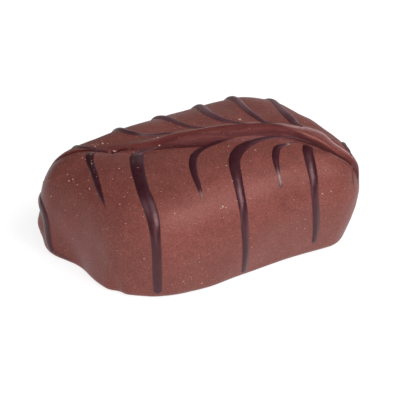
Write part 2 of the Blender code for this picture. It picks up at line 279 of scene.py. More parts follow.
CREST_LIGHT = (     # painted highlight on the crest itself
    (9.4, 0.02, 0.06, 0.0), (10.2, 0.02, 0.06, 0.25), (11.2, 0.0, 0.07, 0.6), (12.4, -0.01, 0.09, 0.9),
    (13.5, 0.0, 0.10, 1.0), (14.3, 0.0, 0.10, 0.8), (15.1, 0.0, 0.08, 0.35), (16.4, 0.0, 0.07, 0.2), (17.4, 0.0, 0.06, 0.0),
)
STREAKS = (     # paler streaks left on the scraped face
    ((-3.6, -0.70, 0.16, 0.0), (-1.8, -0.80, 0.26, 0.9), (0.2, -0.86, 0.18, 0.7), (1.1, -0.85, 0.14, 1.0),
     (2.6, -0.92, 0.12, 0.5), (3.6, -1.00, 0.10, 0.0)),
    ((-0.8, -0.36, 0.12, 0.0), (1.1, -0.45, 0.11, 0.7), (4.1, -0.57, 0.10, 0.8), (7.0, -0.36, 0.09, 0.8),
     (8.8, -0.26, 0.07, 0.7), (10.0, -0.21, 0.05, 0.8), (11.2, -0.15, 0.05, 0.6), (12.4, -0.16, 0.04, 0.4),
     (13.5, -0.20, 0.04, 0.0)),
    ((0.0, -1.20, 0.10, 0.0), (1.1, -1.12, 0.09, 0.35), (2.6, -1.20, 0.10, 0.3), (3.6, -1.10, 0.10, 0.0)),
    ((11.6, -0.15, 0.06, 0.0), (12.4, -0.17, 0.07, 0.9), (13.5, -0.18, 0.08, 1.0), (14.3, -0.17, 0.08, 1.0),
     (15.1, -0.14, 0.06, 0.6), (15.8, -0.1, 0.05, 0.0)),
    ((9.2, -0.50, 0.05, 0.0), (10.0, -0.55, 0.06, 0.7), (11.2, -0.40, 0.04, 0.3), (11.8, -0.36, 0.04, 0.0)),
)
GROOVES = (     # darker streaks between them
    ((-0.4, -1.35, 0.16, 0.0), (1.1, -1.40, 0.18, 0.6), (2.6, -1.30, 0.12, 0.4), (3.4, -1.1, 0.1, 0.0)),
    ((0.4, -0.62, 0.06, 0.0), (1.1, -0.62, 0.06, 0.4), (4.1, -0.90, 0.16, 0.7), (7.0, -0.66, 0.11, 0.8),
     (8.8, -0.50, 0.08, 0.8), (10.0, -0.40, 0.06, 0.8), (11.2, -0.30, 0.05, 0.4), (12.0, -0.3, 0.05, 0.0)),
)


# ------------------------------------------------------------------- the shape
def smooth_max(a, b, k):
    h = np.maximum(k - np.abs(a - b), 0.0) / k
    return np.maximum(a, b) + h * h * k / 4.0


def plan(x, y):
    x = x + SKEW * y
    a = HALF_LONG + BOW_ENDS * (1 - np.clip(y / HALF_SHORT, -1, 1) ** 2)
    b = HALF_SHORT + BOW_SIDES * (1 - np.clip(x / HALF_LONG, -1, 1) ** 2) + TAPER * x / HALF_LONG
    r = np.where(
        x < 0,
        np.where(y < 0, CORNER_NEAR_LEFT, CORNER_FAR_LEFT),
        np.where(y < 0, CORNER_NEAR_RIGHT, CORNER_FAR_RIGHT),
    )
    qx, qy = np.abs(x) - a + r, np.abs(y) - b + r
    return np.minimum(np.maximum(qx, qy), 0) + np.hypot(np.maximum(qx, 0), np.maximum(qy, 0)) - r


def crown(x, y):
    return (
        HEIGHT
        - CROWN_LONG * np.abs(x / HALF_LONG) ** CROWN_LONG_POWER
        - CROWN_SHORT * np.abs((y - CROWN_OFFSET) / HALF_SHORT) ** CROWN_SHORT_POWER
        + RISE * x / HALF_LONG
    )


def inset(x, y, z):
    low = np.clip(1 - z / WAIST, 0, None) ** FOOT_POWER
    high = np.clip((z - WAIST) / (HEIGHT - WAIST), 0, None) ** 2
    wx = np.clip(np.abs(x) / HALF_LONG, 0, 1) ** 4
    wy = np.clip(np.abs(y) / HALF_SHORT, 0, 1) ** 4
    foot = (np.where(x > 0, FOOT_RIGHT, FOOT_LEFT) * wx + FOOT_SIDES * wy) / (wx + wy + 1e-6)
    return foot * low + LEAN_TOP * high


def dents(x, y, z):
    out = 0.0
    for cx, cy, cz, spread, tall, depth in DENTS:
        out = out + depth * np.exp(
            -((x - cx) ** 2 + (y - cy) ** 2) / (2 * spread ** 2) - (z - cz) ** 2 / (2 * tall ** 2)
        )
    return out


def field(p):
    x, y, z = p[..., 0], p[..., 1], p[..., 2]
    side = plan(x, y) + inset(x, y, z) + dents(x, y, z)
    return smooth_max(smooth_max(side, z - crown(x, y), SHOULDER), -z, FOOT_EDGE)


def slope(p):
    e = np.eye(3) * 1e-3
    g = np.stack([field(p + e[i]) - field(p - e[i]) for i in range(3)], -1)
    return g / np.linalg.norm(g, axis=-1, keepdims=True)


def blend_table(table, at, column):
    """A column of a table of stations, blended smoothly between its rows."""
    xs = [row[0] for row in table]
    ys = [row[column] for row in table]
    n = len(xs)
    m = [0.0] * n
    for i in range(1, n - 1):
        m[i] = (ys[i + 1] - ys[i - 1]) / (xs[i + 1] - xs[i - 1])
    t = np.clip(at, xs[0], xs[-1])
    i = np.clip(np.searchsorted(xs, t) - 1, 0, n - 2)
    xa, ya, ma = np.array(xs), np.array(ys), np.array(m)
    w = xa[i + 1] - xa[i]
    u = (t - xa[i]) / w
    return (
        (2 * u**3 - 3 * u**2 + 1) * ya[i]
        + (u**3 - 2 * u**2 + u) * w * ma[i]
        + (3 * u**2 - 2 * u**3) * ya[i + 1]
        + (u**3 - u**2) * w * ma[i + 1]
    )


def station(along, column):
    return blend_table(FOLD, along, column)


def ease(t):
    t = np.clip(t, 0.0, 1.0)
    return t * t * (3 - 2 * t)


def bump(t):
    return np.exp(-t * t)


def fold(along, off, z):
    """Height of the fold above the body; off is the distance behind its crest."""
    tall, face, flat = station(along, 2), station(along, 3), np.maximum(station(along, 4), 0)
    back = 1 - ease((off - flat) / BACK)
    front = 1 - ease(-off / face) ** 0.8
    furrow = FURROW * np.exp(-((off + face + 0.3) / FURROW_WIDTH) ** 2) * np.minimum(tall / 0.4, 1)
    return (tall * np.where(off > 0, back, front) - furrow) * ease((z - FOLD_LOW) / (FOLD_FULL - FOLD_LOW))


def to_body(q):
    along, side, z = q[..., 0], q[..., 1] + station(q[..., 0], 1), q[..., 2]
    return np.stack([along * C + side * S, -along * S + side * C, z], -1)


def to_tool(p):
    along, side = p[..., 0] * C - p[..., 1] * S, p[..., 0] * S + p[..., 1] * C
    return np.stack([along, side - station(along, 1), p[..., 2]], -1)


# Soft unevenness of the coat: a few dozen waves with directions from a seed
_rng = np.random.default_rng(11)
WAVES = []
for _length, _height in ((9.0, 0.050), (5.0, 0.030), (2.6, 0.012), (1.3, 0.005)):
    for _ in range(9):
        _d = _rng.normal(size=3)
        _d /= np.linalg.norm(_d)
        WAVES.append((_d * 2 * math.pi / (_length * _rng.uniform(0.8, 1.25)), _rng.uniform(0, 2 * math.pi), _height / 3.0))


def uneven(p):
    out = np.zeros(p.shape[:-1])
    for k, phase, height in WAVES:
        out += height * np.sin(p @ k + phase)
    return out


def along_fold(table, along, off, wide=1.0, power=2):
    """How strongly one of the lines that follow the fold is present at a place."""
    at, half, strength = (blend_table(table, along, c) for c in (1, 2, 3))
    return np.clip(strength, 0, 1) * np.exp(-np.abs((off - at) / (half * wide)) ** power)


def strongest(tables, along, off):
    return np.max([along_fold(table, along, off) for table in tables], axis=0)


def scraped(along, off):
    """Where the tool has scraped the near face."""
    foot, top, strength = (blend_table(FACE, along, c) for c in (1, 2, 3))
    return np.clip(strength, 0, 1) * ease((off - foot + 0.06) / 0.16) * ease((top + 0.08 - off) / 0.2)


def relief(q, p):
    """Everything that stands on the body, measured along its normal."""
    along, off, z = q[..., 0], q[..., 1], q[..., 2]
    up = ease((z - FOLD_LOW) / (FOLD_FULL - FOLD_LOW))
    tall, face = station(along, 2), station(along, 3)
    out = fold(along, off, z)
    # the far shoulder is a little fuller towards the right end, and the end leaner
    out = out + 0.14 * bump((along - 13.7) / 2.5) * ease((off - 2.2) / 1.8)
    out = out - 0.17 * ease((along - 16.6) / 1.6) * ease((z - 6.5) / 2.5)
    # rim of the crest, the lips and the crease
    out = out + 0.03 * up * np.minimum(tall / 0.5, 1) * bump((off + 0.05) / 0.16) * ease((along + 8) / 4)
    out = out + up * (0.03 + 0.03 * ease((along - 8) / 3)) * along_fold(RIM, along, off, 1.1)
    out = out + up * (0.05 - 0.025 * ease((along - 14) / 1)) * along_fold(LIP, along, off, 1.2)
    out = out - up * 0.07 * along_fold(CREASE, along, off, 1.1, 4)
    out = out - up * 0.03 * along_fold(SCRAPE, along, off)
    # streaks drawn along the near face
    out = out + up * (0.022 * strongest(STREAKS, along, off) - 0.022 * strongest(GROOVES, along, off))
    on_face = scraped(along, off) * up
    lane = off / np.maximum(face, 0.3)
    out = out + 0.006 * on_face * np.sin(2 * math.pi * (lane * 6.3 + 0.02 * along) + 0.6 * np.sin(along * 0.35))
    # the pit with a crumb in it
    out = out - 0.35 * bump(np.hypot(along + 10.5, off + 0.35) / 0.28) * up
    low = ease(z / 1.2)
    return out + uneven(p) * low * (1 - 0.6 * on_face)


def on_coat(q, p=None):
    """From points on the bare body, in the tool's frame, to points on the coat."""
    p = to_body(q) if p is None else p
    n = slope(p)
    return p + n * relief(q, p)[..., None], n


def cast(origin, way, steps=34):
    """Distance from inside the body to its surface, all in the tool's frame."""
    near, far = np.zeros(len(way)), np.full(len(way), 40.0)
    for _ in range(steps):
        half = (near + far) / 2
        inside = field(to_body(origin + way * half[:, None])) < 0
        near, far = np.where(inside, half, near), np.where(inside, far, half)
    return (near + far) / 2


def placed(p):
    out = (p + np.array([OFFSET_X, OFFSET_Y, 0.0])) * MM
    out[..., 2] = np.maximum(out[..., 2], 0.0)
    return out


def make_object(name, verts, faces, material, smooth=True):
    mesh = bpy.data.meshes.new(name)
    mesh.from_pydata([tuple(v) for v in verts.tolist()], [], faces)
    mesh.validate()
    mesh.update()
    if smooth:
        mesh.shade_smooth()
    mesh.materials.append(material)
    obj = bpy.data.objects.new(name, mesh)
    bpy.context.scene.collection.objects.link(obj)
    return obj


def add_vectors(mesh, name, values):
    a = mesh.attributes.new(name, "FLOAT_VECTOR", "POINT")
    a.data.foreach_set("vector", np.asarray(values, dtype=np.float32).ravel())


# ------------------------------------------------------------------- materials
class Nodes:
    """Short names for the node tree of a material."""

    def __init__(self, name):
        self.material = bpy.data.materials.new(name)
        self.material.use_nodes = True
        self.tree = self.material.node_tree
        self.shader = self.tree.nodes["Principled BSDF"]

    def add(self, kind, **inputs):
        node = self.tree.nodes.new(kind)
        for key, value in inputs.items():
            if hasattr(node, key) and key not in node.inputs:
                setattr(node, key, value)
        return node

    def link(self, a, b):
        self.tree.links.new(a, b)

    def noise(self, where, scale, detail=2.0, rough=0.5, distortion=0.0):
        node = self.tree.nodes.new("ShaderNodeTexNoise")
        node.inputs["Scale"].default_value = scale
        node.inputs["Detail"].default_value = detail
        node.inputs["Roughness"].default_value = rough
        node.inputs["Distortion"].default_value = distortion
        self.link(where, node.inputs["Vector"])
        return node.outputs["Fac"]

    def cells(self, where, scale):
        node = self.tree.nodes.new("ShaderNodeTexVoronoi")
        node.inputs["Scale"].default_value = scale
        self.link(where, node.inputs["Vector"])
        return node.outputs["Distance"], node.outputs["Color"]

    def ramp(self, value, stops):
        node = self.tree.nodes.new("ShaderNodeValToRGB")
        e = node.color_ramp.elements
        while len(e) < len(stops):
            e.new(0.5)
        for item, (at, colour) in zip(e, stops):
            item.position = at
            item.color = (*colour, 1.0) if len(colour) == 3 else colour
        self.link(value, node.inputs["Fac"])
        return node.outputs["Color"]

    def attribute(self, name):
        node = self.tree.nodes.new("ShaderNodeAttribute")
        node.attribute_name = name
        return node.outputs["Vector"], self.parts_of_vector(node.outputs["Vector"])

    def parts_of_vector(self, vector):
        node = self.tree.nodes.new("ShaderNodeSeparateXYZ")
        self.link(vector, node.inputs[0])
        return node.outputs[0], node.outputs[1], node.outputs[2]

    def parts(self, colour):
        node = self.tree.nodes.new("ShaderNodeSeparateColor")
        self.link(colour, node.inputs[0])
        return node.outputs[0], node.outputs[1], node.outputs[2]

    def remap(self, value, a, b, c=0.0, d=1.0, smooth=False):
        node = self.tree.nodes.new("ShaderNodeMapRange")
        node.interpolation_type = "SMOOTHSTEP" if smooth else "LINEAR"
        for i, v in zip((1, 2, 3, 4), (a, b, c, d)):
            node.inputs[i].default_value = v
        self.link(value, node.inputs[0])
        return node.outputs[0]

    def math(self, kind, a, b=None):
        node = self.tree.nodes.new("ShaderNodeMath")
        node.operation = kind
        for i, v in enumerate((a, b)):
            if v is None:
                continue
            if isinstance(v, (int, float)):
                node.inputs[i].default_value = v
            else:
                self.link(v, node.inputs[i])
        return node.outputs[0]

    def mix(self, fac, a, b, kind="MIX"):
        node = self.tree.nodes.new("ShaderNodeMix")
        node.data_type = "RGBA"
        node.blend_type = kind
        sockets = {s.identifier: s for s in node.inputs}
        for key, v in (("Factor_Float", fac), ("A_Color", a), ("B_Color", b)):
            if isinstance(v, (int, float)):
                sockets[key].default_value = v
            elif isinstance(v, tuple):
                sockets[key].default_value = (*v, 1.0)
            else:
                self.link(v, sockets[key])
        return next(s for s in node.outputs if s.identifier == "Result_Color")

    def scaled(self, where, size):
        node = self.tree.nodes.new("ShaderNodeMapping")
        node.inputs["Scale"].default_value = size
        self.link(where, node.inputs["Vector"])
        return node.outputs["Vector"]

    def bump(self, height, depth_mm, strength=1.0, below=None):
        node = self.tree.nodes.new("ShaderNodeBump")
        node.inputs["Strength"].default_value = strength
        node.inputs["Distance"].default_value = depth_mm * MM
        self.link(height, node.inputs["Height"])
        if below is not None:
            self.link(below, node.inputs["Normal"])
        return node.outputs["Normal"]


def milk_material():
    n = Nodes("milk_coat")
    where = n.scaled(n.tree.nodes.new("ShaderNodeTexCoord").outputs["Object"], (1000, 1000, 1000))
    tool, (along, lane, face) = n.attribute("tool")
    _, (scrape, crease_and_shadow, rim_highlight) = n.attribute("scrape_crease_highlight")
    _, (lip_highlight, slope_sheen, crest_highlight) = n.attribute("painted_highlights")
    _, (streak, groove, painted_shade) = n.attribute("marks_and_shade")
    _, (matt, under, red) = n.attribute("matt")

    broad = n.noise(where, 0.16, 3.0, 0.55)
    cloud = n.noise(where, 0.9, 4.0, 0.6, 0.4)
    grain = n.noise(where, 5.2, 3.0, 0.75)
    colour = n.ramp(broad, [(0.30, (0.163, 0.0470, 0.0385)), (0.70, (0.192, 0.0565, 0.0470))])
    tint = n.ramp(cloud, [(0.30, (0.86, 0.86, 0.88)), (0.55, (1.0, 1.0, 1.0)), (0.75, (1.10, 1.11, 1.09))])
    colour = n.mix(0.75, colour, tint, "MULTIPLY")

    # redder low down on the left end
    x, y, z = n.parts_of_vector(where)
    left = n.math("MULTIPLY", n.remap(along, -10.5, -14.5, smooth=True), n.remap(z, 9.8, 6.8, smooth=True))
    left = n.math("MULTIPLY", left, n.remap(y, 11.0, 6.0, smooth=True))
    colour = n.mix(left, colour, (0.88, 0.64, 0.62), "MULTIPLY")

    # the scraped face: dark red, with streaks drawn along it
    stretched = n.scaled(tool, (0.10, 1.0, 0.0))
    hair = n.ramp(n.noise(stretched, 9.0, 2.0, 0.6), [(0.34, (0.80, 0.76, 0.78)), (0.66, (1.20, 1.22, 1.18))])
    wide = n.ramp(n.noise(stretched, 3.4, 2.0, 0.5), [(0.36, (0.88, 0.86, 0.88)), (0.64, (1.10, 1.11, 1.08))])
    wiped = n.mix(groove, (0.082, 0.0185, 0.0205), (0.070, 0.0140, 0.0165))
    wiped = n.mix(streak, wiped, (0.124, 0.0330, 0.0315))
    wiped = n.mix(0.8, n.mix(0.8, wiped, hair, "MULTIPLY"), wide, "MULTIPLY")
    colour = n.mix(face, colour, wiped)
    colour = n.mix(n.math("MULTIPLY", scrape, 0.9), colour, (0.062, 0.0072, 0.0058))
    # painted sheen on the slope behind the crest and painted light below the scraped face
    colour = n.mix(slope_sheen, colour, (0.200, 0.080, 0.080))
    colour = n.mix(n.math("MULTIPLY", red, 0.85), colour, (0.102, 0.0150, 0.0130))
    # painted highlight on the far rim
    colour = n.mix(n.math("MULTIPLY", rim_highlight, 0.95), colour, (0.400, 0.235, 0.240))
    # painted highlight on the lower lip
    colour = n.mix(n.math("MULTIPLY", lip_highlight, 0.90), colour, (0.185, 0.085, 0.083))
    # painted highlight on the crest
    colour = n.mix(crest_highlight, colour, (0.320, 0.105, 0.092))
    # dark chocolate in the crease, with painted shadow under the fold
    colour = n.mix(n.math("MULTIPLY", crease_and_shadow, 0.95), colour, (0.030, 0.0045, 0.0062))
    # painted shade under the crease
    colour = n.mix(n.math("MULTIPLY", under, 0.8), colour, (0.068, 0.0165, 0.0140))
    # painted shade above the foot, down the right end and behind the far lip
    colour = n.mix(painted_shade, colour, (0.050, 0.0100, 0.0085))

    # grain of the whole coat, then the finest pale specks, thicker to the left
    fine = n.ramp(grain, [(0.25, (0.52, 0.42, 0.40)), (0.50, (1.0, 1.0, 1.0)), (0.75, (1.56, 1.78, 1.80))])
    colour = n.mix(n.remap(face, 0.0, 1.0, 0.80, 0.35), colour, fine, "MULTIPLY")
    dist, cell = n.cells(where, 2.1)
    some, size, warm = n.parts(cell)
    chosen = n.math("LESS_THAN", some, n.remap(x, -17.0, 8.0, 0.72, 0.34))
    dot = n.math("LESS_THAN", dist, n.remap(size, 0.0, 1.0, 0.05, 0.135))
    speck = n.math("MULTIPLY", chosen, dot)
    pale = n.mix(warm, (0.36, 0.125, 0.080), (0.54, 0.26, 0.17))
    colour = n.mix(n.math("MULTIPLY", speck, 0.70), colour, pale)

    n.link(colour, n.shader.inputs["Base Color"])
    rough = n.remap(cloud, 0.3, 0.7, 0.385, 0.475)
    rough = n.math("ADD", rough, n.math("MULTIPLY", matt, 0.29))
    n.link(rough, n.shader.inputs["Roughness"])
    height = n.math("ADD", n.math("MULTIPLY", grain, 0.8), n.math("MULTIPLY", cloud, 1.0))
    height = n.math("ADD", height, n.math("MULTIPLY", speck, 0.5))
    n.link(n.bump(height, 0.05, 0.62), n.shader.inputs["Normal"])
    n.shader.inputs["IOR"].default_value = 1.47
    n.shader.inputs["Specular IOR Level"].default_value = 0.38
    n.shader.inputs["Specular Tint"].default_value = (1.0, 0.55, 0.50, 1.0)
    return n.material


def dark_material():
    n = Nodes("dark_line")
    where = n.scaled(n.tree.nodes.new("ShaderNodeTexCoord").outputs["Object"], (1000, 1000, 1000))
    _, (edge, film, pale) = n.attribute("line")
    _, (glint, flank_sheen, far_sheen) = n.attribute("line_sheen_glints")
    cloud = n.noise(where, 1.3, 3.0, 0.6)
    grain = n.noise(where, 6.0, 3.0, 0.75)
    colour = n.ramp(cloud, [(0.3, (0.033, 0.0077, 0.0113)), (0.7, (0.046, 0.0114, 0.0160))])
    # painted sheen: the dark lines behind the fold drawn paler
    colour = n.mix(far_sheen, colour, (0.080, 0.0300, 0.0370))
    # thin films at the drawn-out ends let the milk chocolate through
    colour = n.mix(film, colour, (0.085, 0.025, 0.027))
    # painted sheen on parts of the lines
    colour = n.mix(pale, colour, (0.165, 0.090, 0.102))
    colour = n.mix(edge, colour, (0.120, 0.036, 0.032))
    # painted sheen on the far lines' right flank
    colour = n.mix(n.math("MULTIPLY", flank_sheen, 0.8), colour, (0.250, 0.145, 0.170))
    # painted pink highlights and bright spots
    colour = n.mix(glint, colour, (0.270, 0.165, 0.160))
    fine = n.ramp(grain, [(0.28, (0.66, 0.66, 0.68)), (0.50, (1.0, 1.0, 1.0)), (0.72, (1.40, 1.36, 1.36))])
    colour = n.mix(0.7, colour, fine, "MULTIPLY")
    n.link(colour, n.shader.inputs["Base Color"])
    rough = n.remap(cloud, 0.3, 0.7, 0.30, 0.38)
    dull = n.math("MAXIMUM", n.math("MAXIMUM", flank_sheen, film), far_sheen)
    n.link(n.math("ADD", rough, n.math("MULTIPLY", dull, 0.32)), n.shader.inputs["Roughness"])
    height = n.math("ADD", n.math("MULTIPLY", grain, 0.4), cloud)
    n.link(n.bump(height, 0.04, 0.4), n.shader.inputs["Normal"])
    n.shader.inputs["IOR"].default_value = 1.5
    n.shader.inputs["Specular IOR Level"].default_value = 0.50
    n.shader.inputs["Specular Tint"].default_value = (1.0, 0.60, 0.63, 1.0)
    return n.material


def crumb_material():
    n = Nodes("crumb")
    where = n.scaled(n.tree.nodes.new("ShaderNodeTexCoord").outputs["Object"], (1000, 1000, 1000))
    tone = n.noise(where, 1.7, 2.0, 0.6)
    colour = n.ramp(tone, [(0.34, (0.30, 0.135, 0.115)), (0.66, (0.54, 0.31, 0.255))])
    n.link(colour, n.shader.inputs["Base Color"])
    n.link(n.remap(n.noise(where, 5.0), 0.3, 0.7, 0.45, 0.60), n.shader.inputs["Roughness"])
    n.link(n.bump(n.noise(where, 12.0, 2.0), 0.03, 0.5), n.shader.inputs["Normal"])
    return n.material


def floor_material():
    n = Nodes("pale_table")
    where = n.tree.nodes.new("ShaderNodeTexCoord").outputs["Object"]
    n.link(n.ramp(n.noise(where, 40.0, 3.0), [(0.3, (0.25, 0.25, 0.25)), (0.7, (0.27, 0.27, 0.27))]), n.shader.inputs["Base Color"])
    n.shader.inputs["Roughness"].default_value = 0.8
    n.shader.inputs["Specular IOR Level"].default_value = 0.2
    n.shader.inputs["Emission Color"].default_value = (1.0, 1.0, 1.0, 1.0)
    n.shader.inputs["Emission Strength"].default_value = 0.84
    return n.material


# ------------------------------------------------------------------- the skin
def rows_of_skin():
    """Places of the rows across the tool's line, close together at the fold."""
    out = {}
    for sign in (-1, 1):
        at, places = 0.0, []
        while at < 14.5:
            gap = (0.042 if sign < 0 and at < 1.0 else 0.062) + 0.05 * max(at - (2.2 if sign < 0 else 1.9), 0.0)
            at += min(gap, 0.36)
            places.append(at)
        places = np.array(places) * (14.5 / places[-1])
        out[sign] = places / 14.5
    return np.concatenate([-out[-1][::-1], [0.0], out[1]])


def grid_shell(xs, ys, zs):
    """Corners and quads of a box cut at the given places."""
    nx, ny, nz = len(xs), len(ys), len(zs)
    index = -np.ones((nx, ny, nz), dtype=int)
    edge = np.zeros_like(index, dtype=bool)
    edge[0], edge[-1] = True, True
    edge[:, 0], edge[:, -1] = True, True
    edge[:, :, 0], edge[:, :, -1] = True, True
    index[edge] = np.arange(edge.sum())
    i, j, k = np.nonzero(edge)
    corners = np.stack([xs[i], ys[j], zs[k]], -1)

    def quads(a, flip):
        f = np.stack([a[:-1, :-1], a[1:, :-1], a[1:, 1:], a[:-1, 1:]], -1).reshape(-1, 4)
        return f[:, ::-1] if flip else f

    faces = np.concatenate([
        quads(index[:, :, -1], False), quads(index[:, :, 0], True),
        quads(index[:, 0, :], False), quads(index[:, -1, :], True),
        quads(index[0], True), quads(index[-1], False),
    ])
    return corners, faces


def make_skin(material):
    xs = np.linspace(-1, 1, COLUMNS + 1)
    corners, faces = grid_shell(xs, rows_of_skin(), np.linspace(-1, 1, TALL + 1))
    spread = np.sin(corners[:, 0] * math.pi / 2 * 0.62) / math.sin(math.pi / 2 * 0.62)
    way = np.stack([spread * 18.5, corners[:, 1] * 12.0, corners[:, 2] * 6.6], -1)
    way /= np.linalg.norm(way, axis=1, keepdims=True)
    middle = np.array([0.0, 0.0, CENTRE_Z])
    q = middle + way * cast(middle, way)[:, None]
    p, _ = on_coat(q)
    skin = make_object("praline_coat", placed(p), faces.tolist(), material)
    up = ease((q[:, 2] - FOLD_LOW) / (FOLD_FULL - FOLD_LOW))
    along, off = q[:, 0], q[:, 1]
    add_vectors(skin.data, "tool", np.stack([along, -off / station(along, 3), up * scraped(along, off)], -1))
    dark_red = along_fold(SCRAPE, along, off)
    # scraped coat, the crease with its painted shadow, and the painted highlight on the rim
    scrape_crease_highlight = [dark_red, along_fold(CREASE, along, off, 1.0, 4), along_fold(RIM, along, off)]
    add_vectors(skin.data, "scrape_crease_highlight", up[:, None] * np.stack(scrape_crease_highlight, -1))
    # painted sheen on the slope behind the crest, fading slowly from the far lip towards the crest, and painted light
    # below the scraped face
    at = blend_table(RIM, along, 1)
    slope_up = ease((along - 10.5) / 1.5) * ease((off - 0.12) / np.maximum(at - 0.12, 0.1)) * (off < at)
    slope_up = np.maximum(slope_up, along_fold(GLOW, along, off))
    # painted highlights on the lip and crest, and painted sheen and light on the slopes
    light = [along_fold(LIP, along, off), slope_up, along_fold(CREST_LIGHT, along, off)]
    add_vectors(skin.data, "painted_highlights", up[:, None] * np.stack(light, -1))
    # painted shade above the foot, down the right end and behind the far lip
    painted_shade = along_fold(FOOT_SHADE, along, q[:, 2]) * (off < 0)
    painted_shade = np.maximum(painted_shade, along_fold(END_SHADE, q[:, 2], off) * ease((along - 18.1) / 0.3) / np.maximum(up, 0.1))
    painted_shade = np.clip(np.maximum(painted_shade, up * along_fold(SHADOW_BEHIND_LIP, along, off)), 0, 1)
    marks_and_shade = [up * strongest(STREAKS, along, off), up * strongest(GROOVES, along, off), painted_shade]
    add_vectors(skin.data, "marks_and_shade", np.stack(marks_and_shade, -1))
    # duller on the scraped face and behind the fold
    sheen = np.interp(along, [-9.5, -6.5, 8, 11.5], [0.85, 0.40, 0.40, 0.75])
    matt = np.maximum(scraped(along, off), sheen * ease((off - 0.1) / 0.5))
    # with the painted shade under the crease and the redder coat on the crest
    matt = [up * matt, up * along_fold(UNDER, along, off), up * along_fold(RED, along, off)]
    add_vectors(skin.data, "matt", np.stack(matt, -1))
    return skin


# -------------------------------------------------------------- the dark lines
def cross_section(at):
    """The cut through the body where a line crosses: origin, ways and distance from the crest."""
    lean = np.array([LINE_LEAN, 1.0]) / math.hypot(LINE_LEAN, 1.0)
    off = np.linspace(-12, 12, 193)
    line = np.stack([at + LINE_LEAN * off, off, np.full(len(off), CENTRE_Z)], -1)
    origin = line[field(to_body(line)).argmin()]
    turn = np.linspace(-math.radians(60), math.radians(240), 1201)
    way = np.stack([-np.cos(turn) * lean[0], -np.cos(turn) * lean[1], np.sin(turn)], -1)
    q = origin + way * cast(origin, way)[:, None]
    p = to_body(q)
    run = np.concatenate([[0], np.cumsum(np.linalg.norm(np.diff(p, axis=0), axis=1))])
    top = np.nonzero(q[:, 2] > 0.75 * q[:, 2].max())[0]
    return origin, way, run - run[top[np.abs(q[top, 1]).argmin()]]


PROFILE = np.cos(np.linspace(math.pi, 0, 13))     # places across a line, -1 to 1


def dome(t):
    return np.maximum(1 - t * t, 0.0) ** 0.85


def drape(q, width, height, paint):
    """A closed body laid over the coat along points q, flat below and domed above."""
    p = to_body(q)
    n = slope(p)
    tangent = np.gradient(p, axis=0)
    tangent /= np.linalg.norm(tangent, axis=1, keepdims=True)
    across = np.cross(tangent, n)
    across /= np.linalg.norm(across, axis=1, keepdims=True)
    rings, line = [], []
    for t, over in [(t, True) for t in PROFILE] + [(0.8, False), (0.0, False), (-0.8, False)]:
        r = p + across * (t * width / 2)[:, None]
        for _ in range(3):
            r = r - slope(r) * field(r)[:, None]
        on, m = on_coat(to_tool(r), r)
        rings.append(on + m * (height * dome(t) - 0.03 if over else 0 * height - LINE_SINK)[:, None])
        line.append(paint(t if over else 1.0))
    rings, line = np.stack(rings, 1), np.stack(line, 1)
    rows, around = rings.shape[:2]
    idx = np.arange(rows * around).reshape(rows, around)
    nxt = np.roll(idx, -1, axis=1)
    faces = np.stack([idx[:-1], nxt[:-1], nxt[1:], idx[1:]], -1).reshape(-1, 4).tolist()
    faces.append(idx[0][::-1].tolist())
    faces.append(idx[-1].tolist())
    return placed(rings.reshape(-1, 3)), faces, line.reshape(-1, 6)


def rounded(width, height, there, blunt):
    """Closes a line at both ends; blunt ends are nearly square."""
    total = there[-1]
    close = 1.0
    for end, way in ((0, there), (-1, total - there)):
        reach = (0.22 if blunt[end] else 0.5) * width[end] + 0.02
        close = np.minimum(close, 1 - np.clip(1 - way / reach, 0, 1) ** 2)
    close = np.sqrt(np.clip(close, 0.02, 1))
    return width * close, height * np.sqrt(close)


def line_paint(side, s, width, height, sheen_at, glint_at, far_sheen=0.0, worn=0.0):
    """Edge, film and painted sheen of a line, then its painted glints and further painted sheen, for each place across
    it.
    """
    film = np.maximum(1 - ease((height - 0.035) / 0.09), worn)
    top, glint = np.zeros_like(s), np.zeros_like(s)
    for at, spread, strength in sheen_at:
        top = np.maximum(top, strength * bump((s - at) / spread))
    for at, spread, strength in glint_at:
        glint = np.maximum(glint, strength * bump((s - at) / spread))

    def paint(t):
        edge = 0.6 * ease((abs(t) - 0.86) / 0.14) * np.ones_like(s)
        # painted sheen on the flank turned to the right and back, behind the fold
        top_only = 1 - ease((s - 10.0) / 4.5)
        flank_sheen = bump((t - 0.72) / 0.24) * ease((s - 1.2) / 1.2) * top_only if side > 0 else 0 * s
        # painted sheen across the line, and over the far lines' upper parts
        sheen_mask = top * (0.62 + 0.38 * math.cos(2 * math.pi * (t - 0.38) / 0.95))
        if side > 0:
            sheen_mask = np.maximum(sheen_mask, 0.85 * ease((s - 3.2) / 4.4)) * top_only
        return np.stack([edge * (side < 0), 0.8 * film, sheen_mask, glint, flank_sheen, far_sheen * top_only], -1)

    return paint


